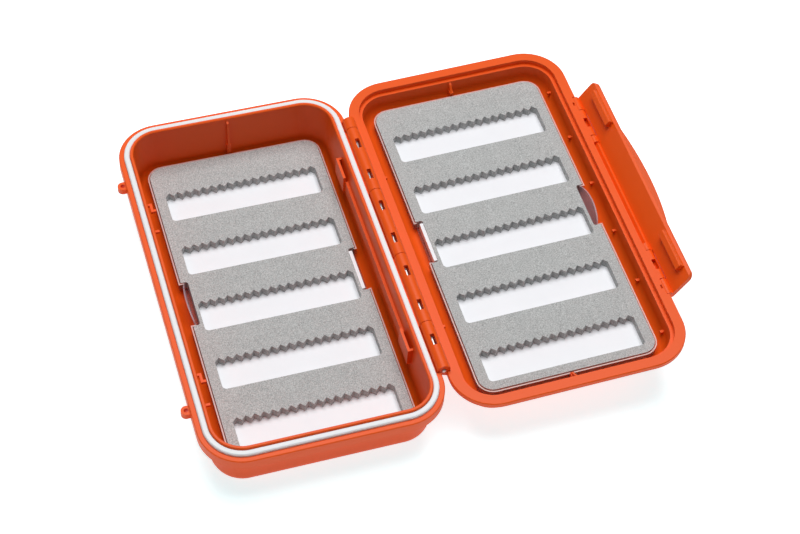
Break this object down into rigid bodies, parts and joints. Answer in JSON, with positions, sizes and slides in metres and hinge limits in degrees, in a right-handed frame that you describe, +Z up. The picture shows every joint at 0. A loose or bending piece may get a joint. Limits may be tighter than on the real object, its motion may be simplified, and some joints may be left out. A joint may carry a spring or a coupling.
{
  "type": "fly box",
  "caption": "Rounded waterproof fly box, laid open on its pin hinge, with a gasketed rim, a hook-over latch flap and slotted foam inserts in base and lid.",
  "frame": {"origin": "centre of the base's flat underside", "axes": "+X across the hinge, from the base to the open lid; +Y along the hinge; +Z up, out of the base"},
  "size_m": [0.2336, 0.19, 0.0404],
  "materials": {
    "shell": "orange moulded plastic, satin",
    "gasket": "pale grey silicone",
    "pin": "stainless rod",
    "foam": "speckled grey closed-cell foam",
    "backing": "white sheet",
    "clear": "clear thin plastic"
  },
  "bodies": {
    "base": {"base_shell": "shell", "gasket": "gasket", "hinge_pin": "pin", "base_tray": "clear", "base_backing": "backing", "base_foam": "foam"},
    "lid": {"lid_shell": "shell", "lid_tray": "clear", "lid_backing": "backing", "lid_foam": "foam"},
    "latch": {"latch": "shell"}
  },
  "joints": [
    {"name": "lid_hinge", "type": "hinge", "parent": "base", "child": "lid", "pos_m": [0.0548, 0, 0.0279], "axis": [0, 1, 0], "range_deg": [-178, 0]},
    {"name": "latch_hinge", "type": "hinge", "parent": "lid", "child": "latch", "pos_m": [0.16295, 0, 0.02848], "axis": [0, 1, 0], "range_deg": [-35, 0]}
  ]
}
